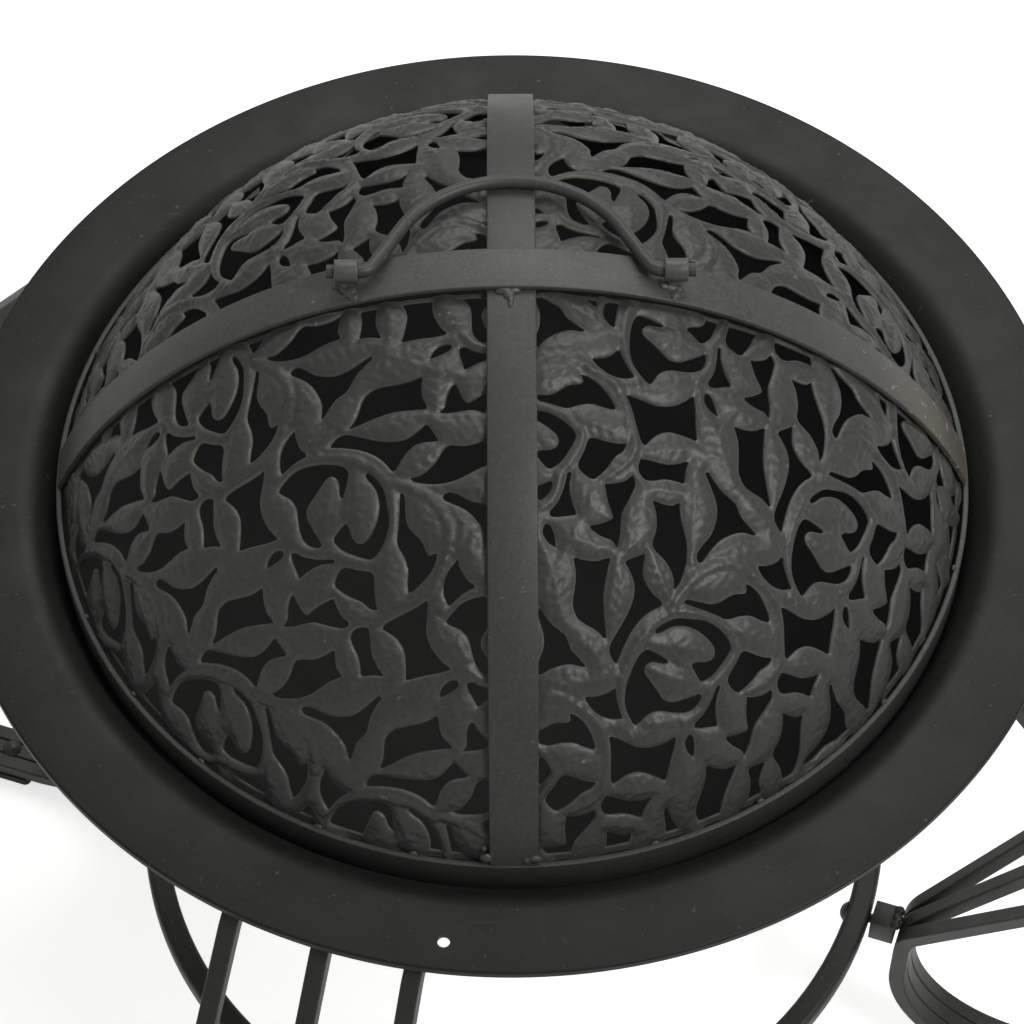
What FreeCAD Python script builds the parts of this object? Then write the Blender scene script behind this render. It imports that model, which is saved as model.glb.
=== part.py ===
"""Brazier: a rimmed fire bowl with a domed, pierced spark screen on a four-legged bar stand.

Millimetres, +Z up. The origin lies on the floor under the bowl's axis, and the front is towards -Y.
"""
import FreeCAD, Part
import Sketcher
import math
import os

from FreeCAD import Placement, Rotation, Vector

# Driving dimensions, in millimetres and degrees
SIZES = {
    # fire bowl
    "rim_height": 505,
    "rim_width": 58,
    "rim_lip": 5,
    "rim_hole": 6.5,
    "rim_hole_inset": 16,
    "rim_hole_turn": 263,
    "bowl_sheet": 2,
    "fold_radius": 22,
    "fold_turn": 72,
    # spark screen
    "hoop_radius": 250,
    "hoop_bar_height": 25,
    "hoop_bar_thickness": 3,
    "hoop_above_rim": 4,
    "dome_rise": 169,
    "panel_sheet": 1.2,
    "panel_tuck": 2,
    "strap_width": 25,
    "strap_thickness": 3,
    # bail handle and its knuckles
    "rod_radius": 3.5,
    "rod_tail": 4,
    "knuckle_place": 84,
    "knuckle_length": 12,
    "knuckle_wall": 2.5,
    "knuckle_foot_width": 8,
    "knuckle_lift": 10.2,
    "bail_reach": 62,
    "bail_half_span": 72.5,
    "bail_slope": 61,
    "bail_foot_bend": 8,
    # stand ring and its brackets
    "ring_radius": 228,
    "ring_bar": 15,
    "ring_bar_corner": 3.5,
    "ring_height": 128,
    "bracket_height": 24,
    "bracket_plate": 3,
    # legs
    "leg_turn": -18.9,
    "bar_side": 10,
    "bar_corner": 1.2,
    "bar_gap": 0.2,
    "seat_inset": 34,
    "seat_length": 22,
    "seat_spread": 49,
    "seat_bend": 30,
    "return_slope": 52,
    "rise_slope": 57.5,
    "crook_spread": 55,
    "crook_bend": 80,
    "waist_reach": 32,
    "waist_above_ring": 6,
    "waist_bend": 40,
    "foot_bend": 83,
    "foot_length": 40,
    # feet and fasteners
    "pad_thickness": 6,
    "pad_length": 34,
    "pad_overhang": 1,
    "pad_corner": 4,
    "bolt_radius": 3,
    "bolt_head_radius": 6.5,
    "bolt_head_height": 4,
    "bolt_tail": 2,
    "nut_across_flats": 10,
    "nut_height": 5,
    # fits
    "seat_clearance": 0.3,
    "running_clearance": 0.05,
    "bolt_clearance": 0.2,
    "thread_clearance": 0.05,
    "panel_clearance": 0.2,
    "overrun": 10,
}

LEG_NAMES = ("right", "back", "left", "front")
PANEL_NAMES = ("back_right", "back_left", "front_left", "front_right")
X_AXIS = Vector(1, 0, 0)
Y_AXIS = Vector(0, 1, 0)
Z_AXIS = Vector(0, 0, 1)

# Gaps of one screen panel: share of the way from crown to hoop, share of the quarter turn,
# size as a share of the hoop radius, and turn in degrees
GAP_SHARES = (
    (0.19, 0.28, 0.075, 20), (0.20, 0.72, 0.072, 65),
    (0.34, 0.17, 0.082, 40), (0.33, 0.50, 0.088, 5), (0.35, 0.83, 0.080, 70),
    (0.48, 0.13, 0.078, 15), (0.47, 0.37, 0.090, 60), (0.49, 0.62, 0.086, 30), (0.48, 0.87, 0.078, 80),
    (0.62, 0.11, 0.076, 50), (0.63, 0.30, 0.088, 10), (0.61, 0.49, 0.084, 75),
    (0.63, 0.69, 0.088, 35), (0.62, 0.89, 0.076, 55),
    (0.76, 0.10, 0.076, 25), (0.75, 0.26, 0.084, 70), (0.77, 0.42, 0.082, 0),
    (0.76, 0.58, 0.086, 45), (0.75, 0.74, 0.082, 15), (0.77, 0.90, 0.074, 60),
    (0.89, 0.11, 0.056, 40), (0.90, 0.27, 0.062, 5), (0.89, 0.42, 0.058, 75),
    (0.90, 0.57, 0.062, 30), (0.89, 0.73, 0.058, 55), (0.90, 0.89, 0.056, 10),
)
GAP_WAIST_SHARE = 0.5
GAP_LONG_SHARE = 1.3

doc = FreeCAD.newDocument("brazier")
sheet = doc.addObject("Spreadsheet::Sheet", "sizes")
for row, (name, value) in enumerate(SIZES.items(), start=1):
    sheet.set(f"A{row}", name)
    sheet.set(f"B{row}", str(value))
    sheet.setAlias(f"B{row}", name)
doc.recompute()


def size(name):
    """Value of a driving dimension."""
    return float(sheet.get(name))


def sine(degrees):
    return math.sin(math.radians(degrees))


def cosine(degrees):
    return math.cos(math.radians(degrees))


def tangent(degrees):
    return math.tan(math.radians(degrees))


# Sizes that follow from the driving dimensions
rim_top = size("rim_height")
rim_under = rim_top - size("bowl_sheet")
rim_radius = size("hoop_radius") + size("rim_width")
hoop_top = rim_top + size("hoop_above_rim")
hoop_bottom = hoop_top - size("hoop_bar_height")
hoop_inside = size("hoop_radius") - size("hoop_bar_thickness")
dome_base_radius = hoop_inside - size("panel_clearance")
dome_base = hoop_top - size("panel_tuck")
dome_crown = hoop_top + size("dome_rise")
dome_height = dome_crown - dome_base
dome_radius = (dome_base_radius**2 + dome_height**2) / (2 * dome_height)
dome_centre = dome_crown - dome_radius
lower_strap_top = dome_radius + size("strap_thickness")
# the upper strap rests with its underside on the edges of the lower one
upper_strap_inner = (math.hypot(lower_strap_top, size("strap_width") / 2)
                     + size("running_clearance"))
upper_strap_top = upper_strap_inner + size("strap_thickness")
pivot_height = (dome_centre + math.sqrt(upper_strap_top**2 - size("knuckle_place")**2)
                + size("knuckle_lift"))
bar_half = size("bar_side") / 2
bundle_spread = size("bar_side") + size("bar_gap")
ring_outside = size("ring_radius") + size("ring_bar") / 2
ring_inside = size("ring_radius") - size("ring_bar") / 2
waist_radius = size("ring_radius") + size("waist_reach")
waist_inside = waist_radius - bar_half
foot_height = size("pad_thickness") + bar_half
foot_top = size("pad_thickness") + size("bar_side")
foot_place = waist_radius + size("foot_bend") + size("foot_length") / 2
seat_radius = rim_radius - size("seat_inset")
bolt_hole = size("bolt_radius") + size("bolt_clearance")


# Sketching
def new_body(label):
    body = doc.addObject("PartDesign::Body", label)
    body.Label = label
    return body


def new_sketch(body, name, role):
    """Sketch of a body on one of its own origin planes."""
    sketch = body.newObject("Sketcher::SketchObject", name)
    plane = next(feature for feature in body.Origin.OriginFeatures if feature.Role == role)
    sketch.AttachmentSupport = (plane, "")
    sketch.MapMode = "FlatFace"
    return sketch


def line(start, end):
    return Part.LineSegment(Vector(*start, 0), Vector(*end, 0))


def arc(centre, radius, first, last):
    """Arc about a centre, counter-clockwise from the first to the last angle in degrees."""
    circle = Part.Circle(Vector(*centre, 0), Z_AXIS, radius)
    return Part.ArcOfCircle(circle, math.radians(first), math.radians(last))


def bind(sketch, name, kind, arguments, expression):
    """Driving constraint of a sketch, tied to the sheet."""
    index = sketch.addConstraint(Sketcher.Constraint(kind, *arguments))
    sketch.renameConstraint(index, name)
    sketch.setExpression(f"Constraints.{name}", expression)


def join_ends(sketch, ends):
    """Ties curve ends together; each entry is a curve, its end, the next curve and its end."""
    for first, first_end, second, second_end in ends:
        sketch.addConstraint(Sketcher.Constraint("Coincident", first, first_end, second, second_end))


def add_rectangle(sketch, left, bottom, width, height):
    """Rectangle whose sides are tied to the sheet; each argument is a value and its expression."""
    (x, x_rule), (y, y_rule), (w, w_rule), (h, h_rule) = left, bottom, width, height
    corners = ((x, y), (x + w, y), (x + w, y + h), (x, y + h))
    sketch.addGeometry([line(corners[i], corners[(i + 1) % 4]) for i in range(4)])
    join_ends(sketch, [(i, 2, (i + 1) % 4, 1) for i in range(4)])
    for i, kind in enumerate(("Horizontal", "Vertical", "Horizontal", "Vertical")):
        sketch.addConstraint(Sketcher.Constraint(kind, i))
    bind(sketch, "left_side", "DistanceX", (-1, 1, 0, 1, x), x_rule)
    bind(sketch, "bottom_side", "DistanceY", (-1, 1, 0, 1, y), y_rule)
    bind(sketch, "wide", "DistanceX", (0, 1, 0, 2, w), w_rule)
    bind(sketch, "tall", "DistanceY", (1, 1, 1, 2, h), h_rule)


def add_rounded_rectangle(sketch, centre, width, height, corner, corner_rule):
    """Rectangle with round corners, the corner radius tied to the sheet."""
    x, y = centre
    in_x = width / 2 - corner
    in_y = height / 2 - corner
    sketch.addGeometry([
        line((x - in_x, y - height / 2), (x + in_x, y - height / 2)),
        arc((x + in_x, y - in_y), corner, 270, 360),
        line((x + width / 2, y - in_y), (x + width / 2, y + in_y)),
        arc((x + in_x, y + in_y), corner, 0, 90),
        line((x + in_x, y + height / 2), (x - in_x, y + height / 2)),
        arc((x - in_x, y + in_y), corner, 90, 180),
        line((x - width / 2, y + in_y), (x - width / 2, y - in_y)),
        arc((x - in_x, y - in_y), corner, 180, 270),
    ])
    join_ends(sketch, [(i, 2, (i + 1) % 8, 1) for i in range(8)])
    bind(sketch, "corner", "Radius", (1, corner), corner_rule)


def add_circle(sketch, centre, radius, rule):
    circle = sketch.addGeometry(Part.Circle(Vector(*centre, 0), Z_AXIS, radius))
    bind(sketch, "round", "Radius", (circle, radius), rule)


def revolve(body, sketch, degrees=360.0):
    feature = body.newObject("PartDesign::Revolution", "turned")
    feature.Profile = sketch
    feature.ReferenceAxis = (sketch, ["V_Axis"])
    feature.Angle = degrees
    return feature


def pad(body, sketch, rule, symmetric=False):
    feature = body.newObject("PartDesign::Pad", "raised")
    feature.Profile = sketch
    feature.setExpression("Length", rule)
    if symmetric:
        feature.SideType = "Symmetric"
    return feature


def cut(body, sketch, rule, symmetric=False):
    """Pocket that has to take material away."""
    doc.recompute()
    before = body.Shape.Volume
    feature = body.newObject("PartDesign::Pocket", "cut")
    feature.Profile = sketch
    feature.setExpression("Length", rule)
    if symmetric:
        feature.SideType = "Symmetric"
    else:
        feature.Reversed = True
    doc.recompute()
    if not body.Shape.Volume < before:
        raise RuntimeError(f"{body.Label}: {sketch.Label} cut nothing")
    return feature


# Fire bowl
def make_bowl():
    """Dish of pressed sheet: flat rim with a turned-down lip, rounded fold and spherical bottom."""
    wall = size("bowl_sheet")
    fold = size("fold_radius")
    turn = size("fold_turn")
    rim = rim_radius
    lip_bottom = rim_top - size("rim_lip")
    # the dish is tangent to the fold and meets the hoop's lower edge
    mouth = size("hoop_radius") + size("seat_clearance")
    below = rim_top - hoop_bottom - fold * (1 - cosine(turn))
    lean = below * cosine(turn)
    dish = (lean + math.sqrt(lean**2 + sine(turn)**2 * (below**2 + mouth**2))) / sine(turn)**2
    dish_centre = (0, rim_top - fold * (1 - cosine(turn)) + dish * cosine(turn))
    dish_bottom = dish_centre[1] - dish
    fold_place = (dish + fold) * sine(turn)
    fold_centre = (fold_place, rim_top - fold)

    body = new_body("fire_bowl")
    sketch = new_sketch(body, "bowl_outline", "XZ_Plane")
    sketch.addGeometry([
        line((rim, rim_top), (fold_place, rim_top)),
        arc(fold_centre, fold, 90, 90 + turn),
        arc(dish_centre, dish, 270, 270 + turn),
        line((0, dish_bottom), (0, dish_bottom - wall)),
        arc(dish_centre, dish + wall, 270, 270 + turn),
        arc(fold_centre, fold - wall, 90, 90 + turn),
        line((fold_place, rim_under), (rim - wall, rim_under)),
        line((rim - wall, rim_under), (rim - wall, lip_bottom)),
        line((rim - wall, lip_bottom), (rim, lip_bottom)),
        line((rim, lip_bottom), (rim, rim_top)),
    ])
    join_ends(sketch, ((0, 2, 1, 1), (1, 2, 2, 2), (2, 1, 3, 1), (3, 2, 4, 1), (4, 2, 5, 2),
                       (5, 1, 6, 1), (6, 2, 7, 1), (7, 2, 8, 1), (8, 2, 9, 1), (9, 2, 0, 1)))
    bind(sketch, "rim_edge", "DistanceX", (-1, 1, 0, 1, rim),
         "sizes.hoop_radius + sizes.rim_width")
    bind(sketch, "rim_level", "DistanceY", (-1, 1, 0, 1, rim_top), "sizes.rim_height")
    bind(sketch, "fold", "Radius", (1, fold), "sizes.fold_radius")
    bind(sketch, "lip_wall", "DistanceX", (8, 1, 8, 2, wall), "sizes.bowl_sheet")
    bind(sketch, "lip_depth", "DistanceY", (9, 1, 9, 2, size("rim_lip")), "sizes.rim_lip")
    revolve(body, sketch)

    # one small hole through the flat of the rim
    hole_place = rim - size("rim_hole_inset")
    hole_turn = size("rim_hole_turn")
    hole_sketch = new_sketch(body, "rim_hole", "XY_Plane")
    add_circle(hole_sketch, (hole_place * cosine(hole_turn), hole_place * sine(hole_turn)),
               size("rim_hole") / 2, "sizes.rim_hole / 2")
    cut(body, hole_sketch, "sizes.rim_height + sizes.overrun")


# Spark screen
def make_hoop():
    body = new_body("screen_hoop")
    sketch = new_sketch(body, "hoop_section", "XZ_Plane")
    add_rectangle(
        sketch,
        (hoop_inside, "sizes.hoop_radius - sizes.hoop_bar_thickness"),
        (hoop_bottom, "sizes.rim_height + sizes.hoop_above_rim - sizes.hoop_bar_height"),
        (size("hoop_bar_thickness"), "sizes.hoop_bar_thickness"),
        (size("hoop_bar_height"), "sizes.hoop_bar_height"))
    revolve(body, sketch)


def gap_outline(down_share, turn_share, size_share, turn):
    """Four-pointed opening with hollow sides, as four arcs seen from above."""
    slope = down_share * math.degrees(math.asin(dome_base_radius / dome_radius))
    bearing = turn_share * 90
    outward = Vector(cosine(bearing), sine(bearing), 0)
    sideways = Vector(-sine(bearing), cosine(bearing), 0)
    centre = outward * (dome_radius * sine(slope))
    reach = size_share * size("hoop_radius")

    def point(angle, distance):
        # lengths down the slope look shorter from above
        return (centre + outward * (distance * cosine(angle) * cosine(slope))
                + sideways * (distance * sine(angle)))

    curves = []
    for i in range(4):
        start_share, end_share = (GAP_LONG_SHARE, 1) if i % 2 == 0 else (1, GAP_LONG_SHARE)
        start = point(turn + i * 90, reach * start_share)
        middle = point(turn + i * 90 + 45, reach * GAP_WAIST_SHARE)
        end = point(turn + i * 90 + 90, reach * end_share)
        curves.append(Part.Arc(start, middle, end))
    return curves


def make_panel(index):
    """A quarter of the pierced dome sheet."""
    inner = dome_radius - size("panel_sheet")
    outer_turn = math.degrees(math.acos((dome_base - dome_centre) / dome_radius))
    inner_turn = math.degrees(math.acos((dome_base - dome_centre) / inner))
    centre = (0, dome_centre)
    body = new_body("screen_panel_" + PANEL_NAMES[index])
    sketch = new_sketch(body, "panel_section", "XZ_Plane")
    sketch.addGeometry([
        arc(centre, dome_radius, 90 - outer_turn, 90),
        line((0, dome_crown), (0, dome_crown - size("panel_sheet"))),
        arc(centre, inner, 90 - inner_turn, 90),
        line((inner * sine(inner_turn), dome_base), (dome_base_radius, dome_base)),
    ])
    join_ends(sketch, ((0, 2, 1, 1), (1, 2, 2, 2), (2, 1, 3, 1), (3, 2, 0, 1)))
    bind(sketch, "sheet_wall", "DistanceY", (1, 2, 1, 1, size("panel_sheet")), "sizes.panel_sheet")
    revolve(body, sketch, 90)
    pattern = new_sketch(body, "pierced_pattern", "XY_Plane")
    for shares in GAP_SHARES:
        pattern.addGeometry(gap_outline(*shares))
    cut(body, pattern, "sizes.rim_height + sizes.hoop_above_rim + sizes.dome_rise + sizes.overrun")
    body.Placement = Placement(Vector(), Rotation(Z_AXIS, index * 90))


def make_strap(label, role, inner):
    """Flat bar bent over the dome, from the hoop's top edge to the opposite one."""
    outer = inner + size("strap_thickness")
    inner_turn = math.degrees(math.acos((hoop_top - dome_centre) / inner))
    outer_turn = math.degrees(math.acos((hoop_top - dome_centre) / outer))
    inner_end = inner * sine(inner_turn)
    outer_end = outer * sine(outer_turn)
    centre = (0, dome_centre)
    body = new_body(label)
    sketch = new_sketch(body, label + "_band", role)
    sketch.addGeometry([
        arc(centre, outer, 90 - outer_turn, 90 + outer_turn),
        line((-outer_end, hoop_top), (-inner_end, hoop_top)),
        arc(centre, inner, 90 - inner_turn, 90 + inner_turn),
        line((inner_end, hoop_top), (outer_end, hoop_top)),
    ])
    join_ends(sketch, ((0, 2, 1, 1), (1, 2, 2, 2), (2, 1, 3, 1), (3, 2, 0, 1)))
    bind(sketch, "end_level", "DistanceY", (-1, 1, 1, 1, hoop_top),
         "sizes.rim_height + sizes.hoop_above_rim")
    pad(body, sketch, "sizes.strap_width", symmetric=True)


def make_knuckle(label, side):
    """Short tube welded on the left-to-right strap, with the weld as its foot."""
    start = Vector(side * size("knuckle_place") - size("knuckle_length") / 2, 0, pivot_height)
    along_x = Rotation(Z_AXIS, X_AXIS)
    tube = doc.addObject("Part::Cylinder", label + "_tube")
    tube.setExpression("Radius", "sizes.rod_radius + sizes.running_clearance + sizes.knuckle_wall")
    tube.setExpression("Height", "sizes.knuckle_length")
    tube.Placement = Placement(start, along_x)
    weld = doc.addObject("Part::Box", label + "_weld")
    weld.setExpression("Length", "sizes.knuckle_length")
    weld.setExpression("Width", "sizes.knuckle_foot_width")
    weld.setExpression("Height", "sizes.knuckle_lift + sizes.overrun")
    weld.Placement = Placement(start - Vector(0, size("knuckle_foot_width") / 2,
                                              size("knuckle_lift") + size("overrun")), Rotation())
    # round bar of the strap's outer curve, which shapes the weld's underside
    strap = doc.addObject("Part::Cylinder", label + "_strap_curve")
    strap.Radius = upper_strap_top
    strap.setExpression("Height", "2 * sizes.strap_width")
    strap.Placement = Placement(Vector(0, size("strap_width"), dome_centre), Rotation(Z_AXIS, -Y_AXIS))
    bore = doc.addObject("Part::Cylinder", label + "_bore")
    bore.setExpression("Radius", "sizes.rod_radius + sizes.running_clearance")
    bore.setExpression("Height", "sizes.knuckle_length + 2 * sizes.overrun")
    bore.Placement = Placement(start - X_AXIS * size("overrun"), along_x)
    seated = doc.addObject("Part::Cut", label + "_seated_weld")
    seated.Base = weld
    seated.Tool = strap
    whole = doc.addObject("Part::Fuse", label + "_whole")
    whole.Base = tube
    whole.Tool = seated
    knuckle = doc.addObject("Part::Cut", label)
    knuckle.Base = whole
    knuckle.Tool = bore
    knuckle.Label = label


def bent_path(corners, bends):
    """Wire of straight runs joined by tangent arcs; one bend radius for each inner corner."""
    edges = []
    start = corners[0]
    for before, corner, after, radius in zip(corners, corners[1:], corners[2:], bends):
        back = (before - corner).normalize()
        ahead = (after - corner).normalize()
        half_angle = back.getAngle(ahead) / 2
        reach = radius / math.tan(half_angle)
        to_centre = (back + ahead).normalize() * (radius / math.sin(half_angle))
        middle = corner + to_centre - (to_centre.normalize() * radius)
        edges.append(Part.LineSegment(start, corner + back * reach).toShape())
        edges.append(Part.Arc(corner + back * reach, middle, corner + ahead * reach).toShape())
        start = corner + ahead * reach
    edges.append(Part.LineSegment(start, corners[-1]).toShape())
    return Part.Wire(edges)


def sweep(path, section, across):
    """Solid of a section carried along a path, one of its sides kept square to a direction."""
    pipe = Part.BRepOffsetAPI.MakePipeShell(path)
    pipe.setBiNormalMode(across)
    pipe.add(section, False, False)
    pipe.build()
    pipe.makeSolid()
    return pipe.shape()


def add_shape(label, shape, placement=None):
    feature = doc.addObject("Part::Feature", label)
    feature.Label = label
    feature.Shape = shape
    if placement is not None:
        feature.Placement = placement
    return feature


def bail_rest_lean():
    """Angle below level at which the bail's crown lies on the front-to-back strap."""
    reach = size("bail_reach")
    clear = lower_strap_top + size("rod_radius") + 2 * size("seat_clearance")
    height = pivot_height - dome_centre
    # the crown turns about the pivot until it is as far from the dome's centre as it may come
    return math.degrees(math.asin((height**2 + reach**2 - clear**2) / (2 * height * reach)))


def make_bail():
    """Round rod: two tails in the knuckles, two straight legs and one wide arch, lying back."""
    reach = size("bail_reach")
    span = size("bail_half_span")
    slope = size("bail_slope")
    tail = size("knuckle_place") + size("knuckle_length") / 2 + size("rod_tail")
    shoulder = span - reach / tangent(slope)
    arch_bend = shoulder / tangent(slope / 2)
    corners = [Vector(tail, 0, 0), Vector(span, 0, 0), Vector(shoulder, reach, 0),
               Vector(-shoulder, reach, 0), Vector(-span, 0, 0), Vector(-tail, 0, 0)]
    foot_bend = size("bail_foot_bend")
    # a short straight stays between the two bends of the arch
    near_arch = arch_bend * (1 - size("running_clearance") / size("rod_radius"))
    path = bent_path(corners, (foot_bend, near_arch, near_arch, foot_bend))
    section = Part.Wire(Part.makeCircle(size("rod_radius"), corners[0], X_AXIS))
    lean = Rotation(X_AXIS, -bail_rest_lean())
    add_shape("bail_handle", sweep(path, section, Z_AXIS),
              Placement(Vector(0, 0, pivot_height), lean))


# Stand
def make_ring():
    body = new_body("stand_ring")
    sketch = new_sketch(body, "ring_section", "XZ_Plane")
    add_rounded_rectangle(sketch, (size("ring_radius"), size("ring_height")), size("ring_bar"),
                          size("ring_bar"), size("ring_bar_corner"), "sizes.ring_bar_corner")
    revolve(body, sketch)
    for role in ("YZ_Plane", "XZ_Plane"):
        holes = new_sketch(body, "bolt_hole_" + role[:2], role)
        add_circle(holes, (0, size("ring_height")), bolt_hole, "sizes.bolt_radius + sizes.bolt_clearance")
        cut(body, holes, "2 * (sizes.ring_radius + sizes.ring_bar)", symmetric=True)
    body.Placement = leg_placement(0)


def leg_placement(index):
    """Turns a piece made along +X to one of the four legs."""
    return Placement(Vector(), Rotation(Z_AXIS, size("leg_turn") + index * 90))


def make_bracket(index):
    """Bent plate: a flange on the ring and two cheeks that reach to the leg's outer bars."""
    plate = size("bracket_plate")
    half_width = bundle_spread + plate / 2
    inner = half_width - plate
    flange = ring_outside + plate
    arc_turn = math.degrees(math.asin(half_width / ring_outside))
    arc_end = ring_outside * cosine(arc_turn)
    body = new_body(LEG_NAMES[index] + "_leg_bracket")
    sketch = new_sketch(body, "bracket_plan", "XY_Plane")
    corners = ((arc_end, half_width), (waist_inside, half_width), (waist_inside, inner), (flange, inner),
               (flange, -inner), (waist_inside, -inner), (waist_inside, -half_width),
               (arc_end, -half_width))
    sketch.addGeometry([line(start, end) for start, end in zip(corners, corners[1:])])
    sketch.addGeometry(arc((0, 0), ring_outside, -arc_turn, arc_turn))
    join_ends(sketch, [(i, 2, i + 1, 1) for i in range(6)] + [(6, 2, 7, 1), (7, 2, 0, 1)])
    pad(body, sketch, "sizes.bracket_height")
    hole = new_sketch(body, "bracket_hole", "YZ_Plane")
    add_circle(hole, (0, size("bracket_height") / 2), bolt_hole, "sizes.bolt_radius + sizes.bolt_clearance")
    cut(body, hole, "2 * (sizes.ring_radius + sizes.waist_reach + sizes.overrun)", symmetric=True)
    lift = Placement(Vector(0, 0, size("ring_height") - size("bracket_height") / 2), Rotation())
    body.Placement = leg_placement(index).multiply(lift)


def rounded_square(centre):
    """Section of a leg bar in the plane square to +X."""
    half = bar_half
    flat = half - size("bar_corner")
    round_middle = flat + size("bar_corner") * sine(45)

    def at(across, up):
        return centre + Y_AXIS * across + Z_AXIS * up

    edges = []
    for across, up in ((1, 1), (-1, 1), (-1, -1), (1, -1)):
        # each corner arc is followed by the side that leads to the next corner
        first, last = (at(half * across, flat * up), at(flat * across, half * up))
        if across * up < 0:
            first, last = last, first
        edges.append(Part.Arc(first, at(round_middle * across, round_middle * up), last).toShape())
    sides = [(edges[i].lastVertex().Point, edges[(i + 1) % 4].firstVertex().Point) for i in range(4)]
    edges += [Part.LineSegment(start, end).toShape() for start, end in sides]
    return Part.Wire(Part.__sortEdges__(edges))


def leg_corners(side):
    """Corners of one leg bar along +X, from its seat under the rim to its foot."""
    seat = rim_under - size("seat_clearance") - bar_half
    seat_bend = seat_radius + size("seat_length")
    waist = size("ring_height") + size("waist_above_ring")
    fall = tangent(size("return_slope"))
    rise = tangent(size("rise_slope"))
    # the crook is where the returning run and the rising run meet
    crook = (seat - waist + fall * seat_bend + rise * waist_radius) / (fall + rise)
    foot_end = waist_radius + size("foot_bend") + size("foot_length")
    return [
        Vector(seat_radius, side * size("seat_spread"), seat),
        Vector(seat_bend, side * size("seat_spread"), seat),
        Vector(crook, side * size("crook_spread"), seat - fall * (crook - seat_bend)),
        Vector(waist_radius, side * bundle_spread, waist),
        Vector(waist_radius, side * bundle_spread, foot_height),
        Vector(foot_end, side * bundle_spread, foot_height),
    ]


def make_bar_shape(side):
    """One square bar of a leg; the middle one has the hole of the foot bolt."""
    corners = leg_corners(side)
    bends = [size(name) for name in ("seat_bend", "crook_bend", "waist_bend", "foot_bend")]
    bar = sweep(bent_path(corners, bends), rounded_square(corners[0]), Y_AXIS)
    if side == 0:
        bar = bar.cut(Part.makeCylinder(bolt_hole, foot_top + size("overrun"), Vector(foot_place, 0, 0)))
    return bar


def make_foot_pad(index):
    """Flat pad under a leg's bundle, with the hole of its bolt."""
    width = 2 * bundle_spread + size("bar_side") + 2 * size("pad_overhang")
    body = new_body(LEG_NAMES[index] + "_leg_foot_pad")
    sketch = new_sketch(body, "pad_plan", "XY_Plane")
    add_rounded_rectangle(sketch, (foot_place, 0), size("pad_length"), width, size("pad_corner"),
                          "sizes.pad_corner")
    pad(body, sketch, "sizes.pad_thickness")
    hole = new_sketch(body, "pad_hole", "XY_Plane")
    add_circle(hole, (foot_place, 0), size("bolt_radius") + size("thread_clearance"),
               "sizes.bolt_radius + sizes.thread_clearance")
    cut(body, hole, "sizes.pad_thickness + sizes.overrun")
    body.Placement = leg_placement(index)


def bolt_shape(length):
    """Round-headed bolt along Z, the underside of its head at zero."""
    head = size("bolt_head_radius")
    dome = size("bolt_head_height")
    shank = size("bolt_radius")
    curve = (head**2 + dome**2) / (2 * dome)
    half_way = math.asin(head / curve) / 2
    top = Vector(0, 0, dome)
    edge = Vector(head, 0, 0)
    bulge = Vector(curve * math.sin(half_way), 0, dome - curve + curve * math.cos(half_way))
    outline = [edge, Vector(shank, 0, 0), Vector(shank, 0, -length), Vector(0, 0, -length), top]
    edges = [Part.LineSegment(start, end).toShape() for start, end in zip(outline, outline[1:])]
    edges.append(Part.Arc(top, bulge, edge).toShape())
    return Part.Face(Part.Wire(edges)).revolve(Vector(), Z_AXIS, 360)


def nut_shape():
    """Six-sided nut along Z, standing on zero."""
    corner = size("nut_across_flats") / 2 / cosine(30)
    points = [Vector(corner * cosine(60 * i), corner * sine(60 * i), 0) for i in range(7)]
    block = Part.Face(Part.makePolygon(points)).extrude(Z_AXIS * size("nut_height"))
    bore = Part.makeCylinder(size("bolt_radius") + size("thread_clearance"), size("nut_height"))
    return block.cut(bore)


def one_on_each_leg(label, shape, placement):
    """Group of separate copies of a fastener, one on each leg."""
    copies = []
    for index in range(4):
        copy = shape.copy()
        copy.Placement = leg_placement(index).multiply(placement)
        copies.append(copy)
    add_shape(label, Part.makeCompound(copies))


def make_fasteners():
    head_seat = math.sqrt(ring_inside**2 - size("bolt_head_radius")**2)
    nut_seat = ring_outside + size("bracket_plate")
    ring_bolt_length = nut_seat + size("nut_height") + size("bolt_tail") - head_seat
    one_on_each_leg("ring_bolts", bolt_shape(ring_bolt_length),
                    Placement(Vector(head_seat, 0, size("ring_height")), Rotation(Z_AXIS, -X_AXIS)))
    one_on_each_leg("ring_nuts", nut_shape(),
                    Placement(Vector(nut_seat, 0, size("ring_height")), Rotation(Z_AXIS, X_AXIS)))
    one_on_each_leg("foot_bolts", bolt_shape(foot_top - size("bolt_tail")),
                    Placement(Vector(foot_place, 0, foot_top), Rotation()))


make_bowl()
make_hoop()
for quarter in range(4):
    make_panel(quarter)
make_strap("strap_front_back", "YZ_Plane", dome_radius)
make_strap("strap_left_right", "XZ_Plane", upper_strap_inner)
make_knuckle("handle_knuckle_left", -1)
make_knuckle("handle_knuckle_right", 1)
make_bail()
make_ring()
bar_shapes = [make_bar_shape(side) for side in (-1, 0, 1)]
for leg, leg_name in enumerate(LEG_NAMES):
    make_bracket(leg)
    make_foot_pad(leg)
    for number, bar_shape in enumerate(bar_shapes, start=1):
        add_shape(f"{leg_name}_leg_bar_{number}", bar_shape, leg_placement(leg))
make_fasteners()
doc.recompute()

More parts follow.
